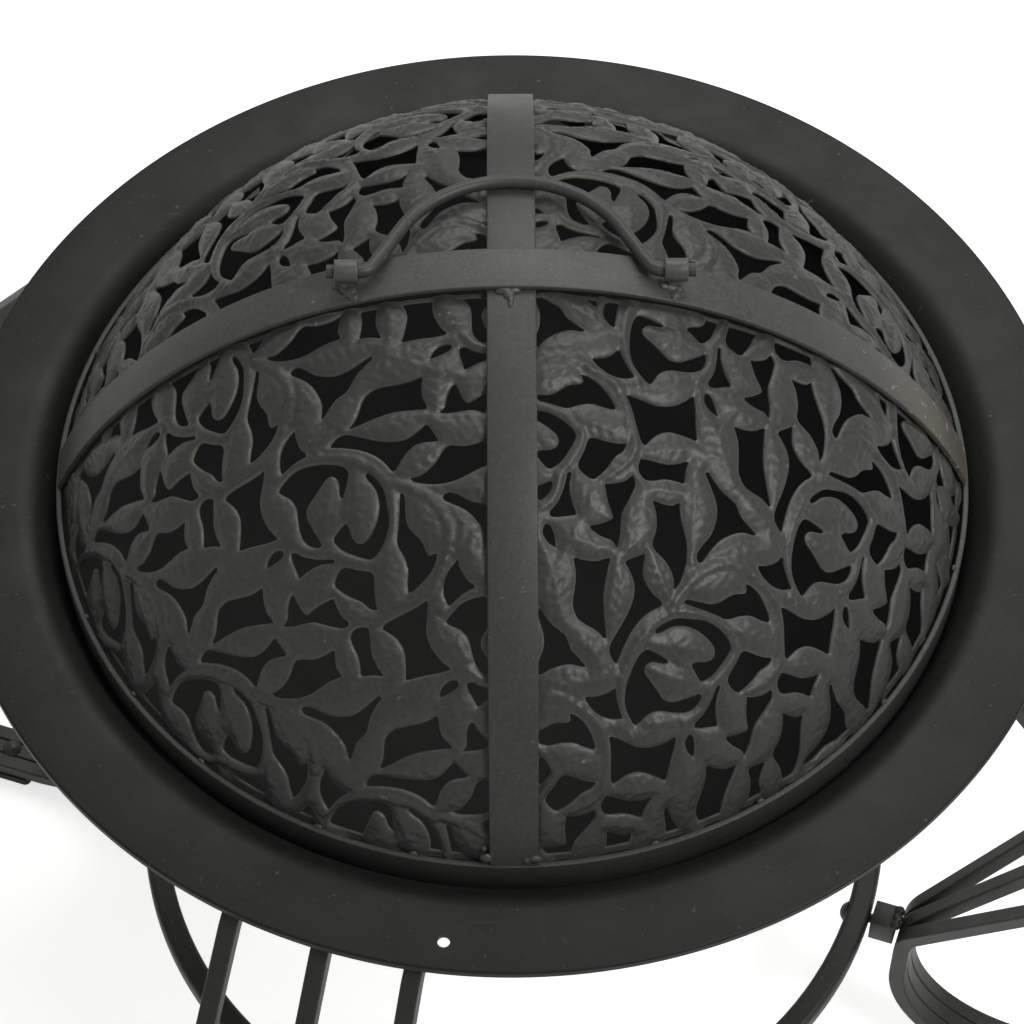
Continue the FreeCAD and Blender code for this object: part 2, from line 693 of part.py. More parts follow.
for item in doc.Objects:
    if "Invalid" in item.State or "Error" in item.State:
        raise RuntimeError(f"{item.Label} failed: {item.State}")
inner_pieces = {name for item in doc.Objects for name in (
    [piece.Name for piece in item.OutList] if item.TypeId in ("Part::Cut", "Part::Fuse") else [])}
sub_parts = [item for item in doc.Objects
             if item.TypeId == "PartDesign::Body"
             or (item.TypeId.startswith("Part::") and item.Name not in inner_pieces
                 and not item.TypeId.startswith("Part::Datum"))]
os.makedirs("parts", exist_ok=True)
for item in sub_parts:
    if item.Shape.isNull() or not item.Shape.isValid():
        raise RuntimeError(f"{item.Label}: no valid shape")
    item.Shape.exportStep(f"parts/{item.Label}.step")
print(len(sub_parts), "sub-parts; bail lean", round(bail_rest_lean(), 3), "pivot", round(pivot_height, 3))
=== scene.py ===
"""Looks of the brazier: satin black paint, pierced and embossed leaf panels, welds and a studio floor."""
import math

import bmesh
import bpy
import numpy as np
from mathutils import Matrix, Vector, noise


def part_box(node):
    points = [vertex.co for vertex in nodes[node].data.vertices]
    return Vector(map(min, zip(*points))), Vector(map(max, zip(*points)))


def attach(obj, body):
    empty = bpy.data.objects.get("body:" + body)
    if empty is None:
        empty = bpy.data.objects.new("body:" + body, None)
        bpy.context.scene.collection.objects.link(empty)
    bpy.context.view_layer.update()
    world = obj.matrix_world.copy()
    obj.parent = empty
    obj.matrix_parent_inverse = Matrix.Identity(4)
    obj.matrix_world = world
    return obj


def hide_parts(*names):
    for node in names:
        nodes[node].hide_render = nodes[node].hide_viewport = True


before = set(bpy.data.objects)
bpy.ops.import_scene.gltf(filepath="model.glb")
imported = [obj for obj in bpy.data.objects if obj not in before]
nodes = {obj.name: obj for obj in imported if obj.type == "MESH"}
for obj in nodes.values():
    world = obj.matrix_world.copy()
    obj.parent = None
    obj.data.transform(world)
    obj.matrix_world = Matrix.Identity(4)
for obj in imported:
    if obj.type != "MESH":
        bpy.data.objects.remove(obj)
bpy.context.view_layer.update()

MM = 0.001

# Camera that took the photograph: place in metres, angles in radians, focal length in pixels
PHOTO_SIDE = 1024
SENSOR = 36.0
CAMERA_PLACE = np.array((-0.0002, -1.1083, 2.0609))
CAMERA_DROP = 0.9635
CAMERA_ROLL = -0.0048
FOCAL = 3470.8


def camera_axes():
    """Right, up and forward of the camera."""
    forward = np.array((0, math.cos(CAMERA_DROP), -math.sin(CAMERA_DROP)))
    level = np.array((1.0, 0, 0))
    rise = np.cross(level, forward)
    turn, tilt = math.cos(CAMERA_ROLL), math.sin(CAMERA_ROLL)
    return turn * level + tilt * rise, turn * rise - tilt * level, forward


# Shapes that the CAD nodes give, in metres
panel_low, panel_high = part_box("screen_panel_front_left")
dome_base = panel_low.z
dome_crown = panel_high.z
dome_base_radius = -panel_low.x
dome_height = dome_crown - dome_base
DOME_RADIUS = (dome_base_radius**2 + dome_height**2) / (2 * dome_height)
DOME_CENTRE = Vector((0, 0, dome_crown - DOME_RADIUS))
hoop_low, hoop_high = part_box("screen_hoop")
HOOP_TOP = hoop_high.z
HOOP_RADIUS = hoop_high.x
STRAP_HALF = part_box("strap_front_back")[1].x
LOWER_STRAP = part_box("strap_front_back")[1].z - DOME_CENTRE.z
UPPER_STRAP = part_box("strap_left_right")[1].z - DOME_CENTRE.z
STRAP_SHEET = 3 * MM
bowl_low, bowl_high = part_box("fire_bowl")
RIM_TOP = bowl_high.z
RIM_RADIUS = bowl_high.x


# Materials
def socket(tree, kind, **values):
    node = tree.nodes.new(kind)
    for name, value in values.items():
        node.inputs[name.replace("_", " ")].default_value = value
    return node


def ramp(tree, source, low, high, bottom=0.0, top=1.0):
    """Part of a value between two levels, stretched to a range of its own."""
    node = socket(tree, "ShaderNodeMapRange")
    for name, value in (("From Min", low), ("From Max", high), ("To Min", bottom), ("To Max", top)):
        node.inputs[name].default_value = value
    tree.links.new(source, node.inputs["Value"])
    return node.outputs["Result"]


def mixed(tree, share, first, second):
    """Colour between two others; a colour is a value or an output of a node."""
    node = tree.nodes.new("ShaderNodeMix")
    node.data_type = "RGBA"
    for index, source in ((0, share), (6, first), (7, second)):
        if isinstance(source, bpy.types.NodeSocket):
            tree.links.new(source, node.inputs[index])
        else:
            node.inputs[index].default_value = source
    return node.outputs[2]


def math_node(tree, operation, *sources):
    node = tree.nodes.new("ShaderNodeMath")
    node.operation = operation
    for index, source in enumerate(sources):
        if isinstance(source, bpy.types.NodeSocket):
            tree.links.new(source, node.inputs[index])
        else:
            node.inputs[index].default_value = source
    return node.outputs[0]


def noise_node(tree, place, scale, detail=4.0, rough=0.6):
    node = socket(tree, "ShaderNodeTexNoise", Scale=scale, Detail=detail, Roughness=rough)
    tree.links.new(place, node.inputs["Vector"])
    return node.outputs["Fac"]


def grey(level, warmth=1.03):
    """A grey that leans to yellow."""
    return (level * warmth, level * warmth, level / warmth**2, 1)


# Finish of the paint: noises in waves per metre, and the ranges of a noise over which a mark comes up
BLOTCHES = 14.0
GRAIN = 420.0
DUST = 260.0
PATCHES = 22.0
BLOTCH_RANGE = (0.3, 0.7)
GRAIN_RANGE = (0.35, 0.75)
DUST_RANGE = (0.69, 0.76)
DUSTY_RANGE = (0.45, 0.7)
SCRATCH_RANGE = (0.70, 0.76)
SCRATCHED_RANGE = (0.5, 0.7)
SCRATCH_TURN = (0, 0, 0.7)
SCRATCH_SCALE = (9, 420, 420)
EDGE_RANGE = (0.985, 0.85)
WORN_AND_HIGHLIGHT_RANGE = (0.35, 0.65)
BARE_RANGE = (0.35, 0.6)
CHIP_RANGE = (0.64, 0.68)
FACING_RANGE = (0.0, 0.1)
DARK_SHARE = 0.8
PALE_SHARE = 1.25
GRAIN_SHARE = 1.5
LEAST_WEAR_AND_HIGHLIGHT_SHARE = 0.15
SMOOTH_SHARE = 0.86
ROUGH_SHARE = 1.16
DUST_TONE = grey(0.30)
SCRATCH_TONE = grey(0.12)
# tone of worn edges, which also paints a highlight along the edges
WORN_AND_HIGHLIGHT_TONE = grey(0.20, 1.06)
CHIP_TONE = grey(0.45)
BARE_STEEL = (0.115, 0.095, 0.072, 1)
# painted fill light: a paler, duller paint that lightens the shaded inside and fold of the bowl
PAINTED_FILL_TONE = grey(0.052, 1.0)
PAINTED_FILL_SHINE = 0.2
PEEL_DEPTH = 0.4 * MM


def scratch_marks(tree, place, patches, strength):
    """Strength of fine scratches that all run one way."""
    stretch = socket(tree, "ShaderNodeMapping", Rotation=SCRATCH_TURN, Scale=SCRATCH_SCALE)
    tree.links.new(place, stretch.inputs["Vector"])
    streak = socket(tree, "ShaderNodeTexNoise", Scale=1.0, Detail=2.0)
    tree.links.new(stretch.outputs["Vector"], streak.inputs["Vector"])
    return math_node(tree, "MULTIPLY", ramp(tree, streak.outputs["Fac"], *SCRATCH_RANGE),
                     ramp(tree, patches, *SCRATCHED_RANGE, 0.0, strength))


def edge_marks(tree, bevel, normal, edge_attribute):
    """Strength of wear on edges, partly a painted highlight along them, which a bevelled normal or an
    attribute of the mesh tells.
    """
    turned = tree.nodes.new("ShaderNodeVectorMath")
    turned.operation = "DOT_PRODUCT"
    tree.links.new(bevel.outputs["Normal"], turned.inputs[0])
    tree.links.new(normal, turned.inputs[1])
    edge = ramp(tree, turned.outputs["Value"], *EDGE_RANGE)
    if edge_attribute:
        rim = tree.nodes.new("ShaderNodeAttribute")
        rim.attribute_name = edge_attribute
        edge = math_node(tree, "MAXIMUM", edge, rim.outputs["Fac"])
    return edge


def paint(name, level, roughness, peel=0.12, specks=0.5, wear_and_highlight=0.5, edge_radius=0.7 * MM, edge_attribute=None,
          shine=0.5, warmth=1.03, scratches=0.0, rubbed_end=None, painted_fill=None):
    """Black satin paint with fine orange peel, dust specks, rubbed patches and edges worn thin, which are
    also lightened as a painted highlight.

    A rubbed end lies between two places along X. A painted fill light, paler and duller paint that lightens
    the shaded inside, lies on what faces up, between two heights.
    """
    material = bpy.data.materials.new(name)
    material.use_nodes = True
    tree = material.node_tree
    shader = tree.nodes["Principled BSDF"]
    place = tree.nodes.new("ShaderNodeTexCoord").outputs["Object"]
    split = tree.nodes.new("ShaderNodeSeparateXYZ")
    tree.links.new(place, split.inputs["Vector"])
    normal = tree.nodes.new("ShaderNodeNewGeometry").outputs["Normal"]
    bevel = socket(tree, "ShaderNodeBevel", Radius=edge_radius)
    bevel.samples = 4

    blotch = noise_node(tree, place, BLOTCHES)
    grain = noise_node(tree, place, GRAIN, 3.0)
    dust = noise_node(tree, place, DUST, 2.0, 0.5)
    patches = noise_node(tree, place, PATCHES, 5.0, 0.7)

    dark, pale = grey(level * DARK_SHARE, warmth), grey(level * PALE_SHARE, warmth)
    base = mixed(tree, ramp(tree, blotch, *BLOTCH_RANGE), dark, pale)
    base = mixed(tree, ramp(tree, grain, *GRAIN_RANGE), base, grey(level * GRAIN_SHARE, warmth))
    speck = math_node(tree, "MULTIPLY", ramp(tree, dust, *DUST_RANGE),
                      ramp(tree, patches, *DUSTY_RANGE, 0.0, specks))
    base = mixed(tree, speck, base, DUST_TONE)
    if scratches:
        base = mixed(tree, scratch_marks(tree, place, patches, scratches), base, SCRATCH_TONE)
    # edges lighten: partly real wear, partly a painted highlight
    rubbed_and_highlit = math_node(tree, "MULTIPLY", edge_marks(tree, bevel, normal, edge_attribute),
                       ramp(tree, patches, *WORN_AND_HIGHLIGHT_RANGE, LEAST_WEAR_AND_HIGHLIGHT_SHARE * wear_and_highlight, wear_and_highlight))
    base = mixed(tree, rubbed_and_highlit, base, WORN_AND_HIGHLIGHT_TONE)
    gloss = ramp(tree, patches, *BLOTCH_RANGE, roughness * SMOOTH_SHARE, roughness * ROUGH_SHARE)
    shader.inputs["Specular IOR Level"].default_value = shine
    if rubbed_end:
        bare = math_node(tree, "MULTIPLY", ramp(tree, split.outputs["X"], *rubbed_end),
                         ramp(tree, patches, *BARE_RANGE))
        base = mixed(tree, bare, base, BARE_STEEL)
        chipped = math_node(tree, "MULTIPLY", bare, ramp(tree, dust, *CHIP_RANGE))
        base = mixed(tree, chipped, base, CHIP_TONE)
    # painted fill light on upward faces deep in the bowl, lightening the shaded fold
    if painted_fill:
        facing = tree.nodes.new("ShaderNodeSeparateXYZ")
        tree.links.new(normal, facing.inputs["Vector"])
        painted_fill_share = math_node(tree, "MULTIPLY", ramp(tree, split.outputs["Z"], *painted_fill),
                        ramp(tree, facing.outputs["Z"], *FACING_RANGE))
        base = mixed(tree, painted_fill_share, base, PAINTED_FILL_TONE)
        gloss = math_node(tree, "MAXIMUM", gloss, painted_fill_share)
        tree.links.new(ramp(tree, painted_fill_share, 0.0, 1.0, shine, PAINTED_FILL_SHINE), shader.inputs["Specular IOR Level"])
    tree.links.new(base, shader.inputs["Base Color"])
    tree.links.new(gloss, shader.inputs["Roughness"])

    bump = socket(tree, "ShaderNodeBump", Strength=peel, Distance=PEEL_DEPTH)
    tree.links.new(grain, bump.inputs["Height"])
    tree.links.new(bevel.outputs["Normal"], bump.inputs["Normal"])
    tree.links.new(bump.outputs["Normal"], shader.inputs["Normal"])
    return material


# heights between which the painted fill light lightens the bowl's shaded inside
PAINTED_FILL_HEIGHTS = (RIM_TOP - 3 * MM, RIM_TOP - 30 * MM)
RUBBED_END = (0.19, 0.235)
# the bowl's strong edge wear also paints the highlight line along the rim's rolled edge
BOWL_PAINT = paint("bowl_paint", 0.009, 0.46, peel=0.10, specks=0.35, wear_and_highlight=0.80, shine=0.28, scratches=0.5,
                   painted_fill=PAINTED_FILL_HEIGHTS)
PANEL_PAINT = paint("panel_paint", 0.038, 0.44, peel=0.30, specks=0.55, wear_and_highlight=0.50, edge_radius=0.4 * MM,
                    edge_attribute="edge_share", warmth=0.995)
SCREEN_PAINT = paint("screen_paint", 0.038, 0.48, peel=0.14, specks=0.8, wear_and_highlight=0.6, warmth=1.005)
# the upper strap's paint is painted lighter than the lower strap's, a painted highlight for the light that
# falls on it; it also has a rubbed end
HIGHLIT_STRAP_PAINT = paint("highlit_strap_paint", 0.053, 0.48, peel=0.14, specks=0.8, wear_and_highlight=0.6, warmth=1.01,
                    rubbed_end=RUBBED_END)
STAND_PAINT = paint("stand_paint", 0.018, 0.46, peel=0.20, specks=0.6, wear_and_highlight=0.4)
FASTENER_PAINT = paint("fastener_paint", 0.026, 0.42, peel=0.15, specks=0.6, wear_and_highlight=0.6)
PAD_RUBBER = paint("pad_rubber", 0.016, 0.75, peel=0.30, specks=0.3, wear_and_highlight=0.0)
# the knuckles' paint is painted lighter than the screen's, with full edge lightening: a painted highlight on
# the tubes
HIGHLIT_KNUCKLE_PAINT = paint("highlit_knuckle_paint", 0.062, 0.42, peel=0.14, specks=0.8, wear_and_highlight=1.0, edge_radius=1.0 * MM)
WELD_PAINT = paint("weld_paint", 0.050, 0.40, peel=0.45, specks=0.8, wear_and_highlight=0.8)

for node_name, node in nodes.items():
    if node_name.endswith("foot_pad"):
        finish = PAD_RUBBER
    elif node_name in ("ring_bolts", "ring_nuts", "foot_bolts"):
        finish = FASTENER_PAINT
    elif node_name == "fire_bowl":
        finish = BOWL_PAINT
    elif node_name.startswith("screen_panel"):
        finish = PANEL_PAINT
    elif node_name.startswith(("screen", "strap", "handle", "bail")):
        finish = SCREEN_PAINT
    else:
        finish = STAND_PAINT
    node.data.materials.clear()
    node.data.materials.append(finish)


# Pieces
def make_piece(name, bm, material, body, replaced=(), sharp=35):
    """Object of a finished mesh, which rides on a body and may stand for CAD nodes."""
    bmesh.ops.remove_doubles(bm, verts=bm.verts, dist=1e-6)
    bmesh.ops.recalc_face_normals(bm, faces=bm.faces)
    for face in bm.faces:
        face.smooth = True
    mesh = bpy.data.meshes.new(name)
    bm.to_mesh(mesh)
    bm.free()
    mesh.set_sharp_from_angle(angle=math.radians(sharp))
    mesh.materials.append(material)
    piece = bpy.data.objects.new(name, mesh)
    bpy.context.scene.collection.objects.link(piece)
    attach(piece, body)
    if replaced:
        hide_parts(*replaced)
    return piece


def arc_points(centre, radius, first, last, steps):
    """Points of an arc in the profile plane, angles in degrees."""
    turns = np.radians(np.linspace(first, last, steps + 1))
    return [(centre[0] + radius * math.cos(turn), centre[1] + radius * math.sin(turn)) for turn in turns]


def rounded_box_profile(left, right, bottom, top, corner, steps=3):
    points = []
    for x, z, first in ((right - corner, top - corner, 0), (left + corner, top - corner, 90),
                        (left + corner, bottom + corner, 180), (right - corner, bottom + corner, 270)):
        points += arc_points((x, z), corner, first, first + 90, steps)
    return points


def spun(points, place, axis, angle, steps, closed):
    """Mesh of a profile carried round an axis; place turns a profile point into space."""
    bm = bmesh.new()
    verts = [bm.verts.new(place(*point)) for point in points]
    pairs = list(zip(verts, verts[1:]))
    if closed:
        pairs.append((verts[-1], verts[0]))
    edges = [bm.edges.new(pair) for pair in pairs]
    centre, direction = axis
    bmesh.ops.spin(bm, geom=verts + edges, cent=centre, axis=direction, angle=angle, steps=steps,
                   use_merge=abs(angle) > math.tau - 1e-6)
    return bm


def upright(x, z):
    return (x, 0, z)


Z_LINE = (Vector(), Vector((0, 0, 1)))


# Fire bowl: flat rim, turned outer edge, rounded fold and a spherical dish
SHEET = 2 * MM
FOLD_RADIUS = 22 * MM
FOLD_TURN = 72
EDGE_ROUND = 1.4 * MM
RIM_LIP = 5 * MM
HOLE_WIDTH = 6.5 * MM
HOLE_INSET = 16 * MM
HOLE_TURN = math.radians(263)
LIP_ROUND = 0.4 * MM
ROUND_STEPS = 256
DISH_STEPS = 48
FOLD_STEPS = 14
EDGE_STEPS = 5
HOLE_STEPS = 32


def bowl_profile():
    turn = math.radians(FOLD_TURN)
    bottom = bowl_low.z + SHEET
    fold_drop = FOLD_RADIUS * (1 - math.cos(turn))
    # the dish meets the fold where both lean alike
    dish = (RIM_TOP - fold_drop - bottom) / (1 - math.cos(turn))
    dish_centre = (0, bottom + dish)
    fold_centre = ((dish + FOLD_RADIUS) * math.sin(turn), RIM_TOP - FOLD_RADIUS)
    edge = RIM_RADIUS - EDGE_ROUND
    points = arc_points(dish_centre, dish, 270, 270 + FOLD_TURN, DISH_STEPS)
    points += arc_points(fold_centre, FOLD_RADIUS, 90 + FOLD_TURN, 90, FOLD_STEPS)[1:]
    points += arc_points((edge, RIM_TOP - EDGE_ROUND), EDGE_ROUND, 90, 0, EDGE_STEPS)
    points += [(RIM_RADIUS, RIM_TOP - RIM_LIP + LIP_ROUND), (RIM_RADIUS - LIP_ROUND, RIM_TOP - RIM_LIP),
               (RIM_RADIUS - SHEET, RIM_TOP - RIM_LIP), (RIM_RADIUS - SHEET, RIM_TOP - SHEET)]
    points += arc_points(fold_centre, FOLD_RADIUS - SHEET, 90, 90 + FOLD_TURN, FOLD_STEPS)
    points += arc_points(dish_centre, dish + SHEET, 270 + FOLD_TURN, 270, DISH_STEPS)[1:]
    return points


def applied(piece):
    """Replaces a piece's mesh by what its modifiers make of it."""
    shown = piece.evaluated_get(bpy.context.evaluated_depsgraph_get())
    mesh = bpy.data.meshes.new_from_object(shown)
    piece.modifiers.clear()
    piece.data = mesh


def make_bowl():
    bm = spun(bowl_profile(), upright, Z_LINE, math.tau, ROUND_STEPS, False)
    bowl = make_piece("bowl_sheet", bm, BOWL_PAINT, "bowl", ("fire_bowl",))
    cutter_bm = bmesh.new()
    reach = RIM_RADIUS - HOLE_INSET
    spot = Matrix.Translation((reach * math.cos(HOLE_TURN), reach * math.sin(HOLE_TURN), RIM_TOP))
    bmesh.ops.create_cone(cutter_bm, cap_ends=True, segments=HOLE_STEPS, radius1=HOLE_WIDTH / 2,
                          radius2=HOLE_WIDTH / 2, depth=4 * SHEET, matrix=spot)
    cutter_mesh = bpy.data.meshes.new("rim_hole_cutter")
    cutter_bm.to_mesh(cutter_mesh)
    cutter_bm.free()
    cutter = bpy.data.objects.new("rim_hole_cutter", cutter_mesh)
    bpy.context.scene.collection.objects.link(cutter)
    hole = bowl.modifiers.new("rim_hole", "BOOLEAN")
    hole.operation = "DIFFERENCE"
    hole.solver = "EXACT"
    hole.object = cutter
    bpy.context.view_layer.update()
    applied(bowl)
    bpy.data.objects.remove(cutter)


make_bowl()

# Hoop and straps of the spark screen
BAR_EDGE = 0.6 * MM
STRAP_STEPS = 96
SPARE_TURN = 0.05
# lean from the crown, in degrees, over which the upper strap comes down to the lower one's level
SETTLE = (14, 50)
hoop_profile = rounded_box_profile(HOOP_RADIUS - STRAP_SHEET, HOOP_RADIUS, hoop_low.z, HOOP_TOP, BAR_EDGE)
make_piece("hoop_bar", spun(hoop_profile, upright, Z_LINE, math.tau, ROUND_STEPS, True), SCREEN_PAINT,
           "screen", ("screen_hoop",))


def make_strap(name, replaced, outer, axis, finish):
    """Flat bar bent over the dome and cut level at the hoop's top edge; the upper one settles lower."""
    turn = math.acos((HOOP_TOP - DOME_CENTRE.z) / outer) + SPARE_TURN
    start = Matrix.Rotation(-turn, 3, axis)

    def place(width, height):
        return DOME_CENTRE + start @ (axis * width + Vector((0, 0, height)))

    profile = rounded_box_profile(-STRAP_HALF, STRAP_HALF, outer - STRAP_SHEET, outer, BAR_EDGE)
    bm = spun(profile, place, (DOME_CENTRE, axis), 2 * turn, STRAP_STEPS, True)
    for vert in bm.verts:
        arm = vert.co - DOME_CENTRE
        arm -= axis * arm.dot(axis)
        lean = math.degrees(arm.angle(Z_LINE[1]))
        share = min(max((lean - SETTLE[0]) / (SETTLE[1] - SETTLE[0]), 0), 1)
        vert.co -= arm.normalized() * (outer - LOWER_STRAP) * share**2 * (3 - 2 * share)
    geometry = bm.verts[:] + bm.edges[:] + bm.faces[:]
    cut = bmesh.ops.bisect_plane(bm, geom=geometry, plane_co=(0, 0, HOOP_TOP), plane_no=(0, 0, 1),
                                 clear_inner=True)
    rims = [item for item in cut["geom_cut"] if isinstance(item, bmesh.types.BMEdge)]
    bmesh.ops.edgeloop_fill(bm, edges=rims)
    make_piece(name, bm, finish, "screen", (replaced,))


make_strap("lower_strap", "strap_front_back", LOWER_STRAP, Vector((1, 0, 0)), SCREEN_PAINT)
make_strap("upper_strap", "strap_left_right", UPPER_STRAP, Vector((0, 1, 0)), HIGHLIT_STRAP_PAINT)

# Leaf pattern of the front left panel, read in two enlarged crops of the photograph.
# A crop is its top left pixel and its enlargement; a gap is the points along its outline.
UPPER_CROP = (255, 300, 4.898)
LOWER_CROP = (190, 560, 5.058)
GAPS = (
    (LOWER_CROP, ((560, 785), (553, 765), (575, 748), (620, 760), (680, 790), (740, 802), (800, 798),
                  (850, 775), (900, 735), (940, 700), (962, 693), (965, 705), (935, 745), (905, 800),
                  (890, 860), (878, 890), (840, 925), (820, 975), (803, 1028), (790, 1005), (775, 950),
                  (740, 900), (690, 850), (640, 820), (590, 800))),
    (LOWER_CROP, ((945, 1075), (970, 1020), (975, 950), (985, 905), (1030, 865), (1100, 850), (1180, 830),
                  (1248, 795), (1255, 850), (1280, 915), (1325, 962), (1250, 970), (1150, 985),
                  (1070, 1015), (1000, 1050))),
    (UPPER_CROP, ((42, 1318), (55, 1270), (90, 1232), (132, 1230), (125, 1260), (90, 1290))),
    (UPPER_CROP, ((165, 1245), (190, 1238), (230, 1260), (300, 1272), (385, 1272), (385, 1290),
                  (320, 1297), (260, 1325), (205, 1370), (190, 1330), (170, 1280))),
    (LOWER_CROP, ((455, 340), (480, 310), (482, 250), (495, 195), (510, 170), (520, 200), (545, 245),
                  (578, 282), (610, 260), (650, 230), (720, 195), (730, 230), (760, 290), (805, 325),
                  (770, 350), (720, 345), (660, 330), (610, 318), (560, 328), (510, 340))),
    (LOWER_CROP, ((745, 60), (780, 40), (850, 55), (920, 70), (925, 150), (930, 210), (945, 262),
                  (900, 250), (860, 215), (800, 190), (735, 148), (722, 120))),
    (LOWER_CROP, ((30, 525), (55, 475), (90, 460), (150, 475), (220, 492), (290, 497), (345, 480),
                  (385, 440), (415, 398), (440, 430), (483, 490), (430, 497), (390, 510), (360, 545),
                  (340, 590), (325, 645), (305, 640), (280, 610), (230, 570), (160, 540), (90, 528))),
    (LOWER_CROP, ((388, 683), (440, 665), (490, 600), (525, 515), (600, 512), (670, 490), (722, 455),
                  (725, 510), (735, 560), (765, 595), (700, 620), (640, 660), (590, 690), (520, 708),
                  (440, 705))),
    (LOWER_CROP, ((845, 345), (820, 360), (802, 395), (815, 440), (840, 490), (852, 550), (855, 598),
                  (920, 590), (985, 598), (950, 560), (915, 490), (905, 420), (900, 370), (895, 348),
                  (870, 343))),
    (LOWER_CROP, ((1200, 205), (1195, 290), (1190, 370), (1215, 450), (1265, 515), (1322, 558),
                  (1250, 580), (1170, 595), (1085, 618), (1085, 540), (1075, 460), (1040, 405),
                  (1000, 375), (965, 355), (980, 330), (1050, 290), (1130, 250))),
    (UPPER_CROP, ((105, 930), (150, 870), (200, 830), (270, 808), (350, 803), (410, 810), (445, 830),
                  (450, 860), (435, 920), (420, 980), (405, 950), (400, 890), (375, 862), (345, 870),
                  (310, 920), (270, 980), (245, 1020), (245, 1070), (270, 1120), (300, 1170), (325, 1205),
                  (290, 1215), (240, 1195), (212, 1150), (200, 1090), (190, 1020), (160, 975), (115, 950))),
    (UPPER_CROP, ((530, 850), (550, 845), (590, 880), (625, 930), (640, 1000), (650, 1080), (640, 1150),
                  (610, 1220), (575, 1265), (540, 1270), (460, 1245), (410, 1220), (375, 1180),
                  (395, 1140), (435, 1090), (455, 1120), (470, 1170), (505, 1195), (545, 1175),
                  (580, 1110), (600, 1040), (600, 980), (580, 920), (545, 880))),
    (UPPER_CROP, ((705, 942), (725, 950), (730, 1000), (735, 1080), (760, 1130), (810, 1180), (835, 1240),
                  (850, 1258), (885, 1235), (885, 1270), (860, 1330), (820, 1380), (780, 1420),
                  (745, 1440), (742, 1380), (745, 1320), (725, 1260), (690, 1195), (695, 1120),
                  (700, 1040))),
    (LOWER_CROP, ((680, 1065), (700, 1110), (740, 1160), (790, 1190), (740, 1220), (690, 1275),
                  (660, 1230), (645, 1170), (655, 1110))),
)
# Leaves, whose middles are ribbed: base and tip in pixels of the photograph
LEAVES = (
    ((326, 547), (332, 476)), ((352, 466), (360, 542.5)), ((299, 545), (275, 489)), ((390, 544), (381, 614)),
    ((258, 692), (293, 658)), ((299, 702), (387, 681)), ((275, 710), (306, 771)), ((305, 719), (352, 764)),
    ((356, 801), (369, 736)), ((369, 734.5), (452, 676)), ((350, 678), (343, 645)), ((394, 682), (374, 628)),
    ((273.5, 629.5), (205, 642)), ((275, 631), (350, 627.5)), ((279, 627), (273.5, 560)),
    ((339, 566), (306, 614)), ((334.5, 590), (378.5, 615)),
)
# Stems that stand up as cords between grooves, and the groove down the middle of the bud
STEMS = (
    (UPPER_CROP, ((95, 870), (180, 815), (270, 783), (350, 775), (430, 775), (500, 790), (570, 830),
                  (630, 890), (668, 950), (675, 1020), (670, 1090), (655, 1160), (625, 1225), (585, 1282),
                  (540, 1297), (470, 1280), (400, 1250), (340, 1237), (280, 1237), (220, 1215),
                  (180, 1170))),
    (UPPER_CROP, ((660, 890), (760, 912), (860, 962), (925, 1040), (955, 1120), (950, 1200), (930, 1275))),
    (LOWER_CROP, ((1290, 0), (1268, 90), (1200, 185), (1100, 255), (990, 300), (900, 300), (820, 255),
                  (750, 180))),
)
BUD_GROOVE = (UPPER_CROP, ((425, 975), (412, 1040), (428, 1100)))
# The sheet repeats its pattern along and across, in millimetres
REPEAT = np.array((113.0, 137.0))
PANEL_MIDDLE = math.radians(38)
FRONT_LEFT = math.radians(225)
# corners of an outline that turn more than this stay pointed
POINTED = math.cos(math.radians(80))
# Relief, in millimetres: metal swells from the edges of the gaps, and leaves have ribs and dents
RELIEF_REACH = 9.0
RELIEF = 2.5
RELIEF_FADE = 3.0
SHEET_DROP = 2.0
RIB_RELIEF = 0.45
RIB_WIDTH = 0.8
VEIN_LEAN = 0.8
DENT_RELIEF = 0.26
DENT_SIZE = 6.0
DENT_PLACE = 3.5
DENT_WIDTH = 2.5
HAMMER_RELIEF = 0.50
HAMMER_SIZE = 3.0
CORD_RELIEF = 0.55
CORD_WIDTH = 1.9
GROOVE_RELIEF = 0.65
GROOVE_REACH = 3.5
GROOVE_WIDTH = 0.9
FAR = 1e3


def panel_axes(bearing):
    """Outward, sideways and upward directions at the middle of a panel."""
    outward = np.array((math.sin(PANEL_MIDDLE) * math.cos(bearing),
                        math.sin(PANEL_MIDDLE) * math.sin(bearing), math.cos(PANEL_MIDDLE)))
    sideways = np.array((-math.sin(bearing), math.cos(bearing), 0))
    return outward, sideways, np.cross(outward, sideways)


def pixel_normal(pixel, radius):
    """Direction from the dome's centre to where a pixel of the photograph meets a sphere about it."""
    right, up, forward = camera_axes()
    ray = forward + ((pixel[0] - PHOTO_SIDE / 2) * right - (pixel[1] - PHOTO_SIDE / 2) * up) / FOCAL
    ray /= np.linalg.norm(ray)
    start = CAMERA_PLACE - np.array(DOME_CENTRE)
    middle = start @ ray
    reach = -middle - math.sqrt(max(middle**2 - start @ start + radius**2, 0))
    return (start + reach * ray) / radius


def pixel_on_sheet(pixel, bearing):
    """Where a pixel of the photograph meets a panel, in millimetres of the flat sheet."""
    normal = pixel_normal(pixel, DOME_RADIUS)
    outward, sideways, upward = panel_axes(bearing)
    angle = math.acos(normal @ outward)
    flat = np.array((normal @ sideways, normal @ upward))
    return flat * (DOME_RADIUS / MM * angle / math.sin(angle))


def from_nearest(points, centre):
    """Offsets from the nearest repeat of a centre."""
    offset = points - centre
    return offset - REPEAT * np.round(offset / REPEAT)


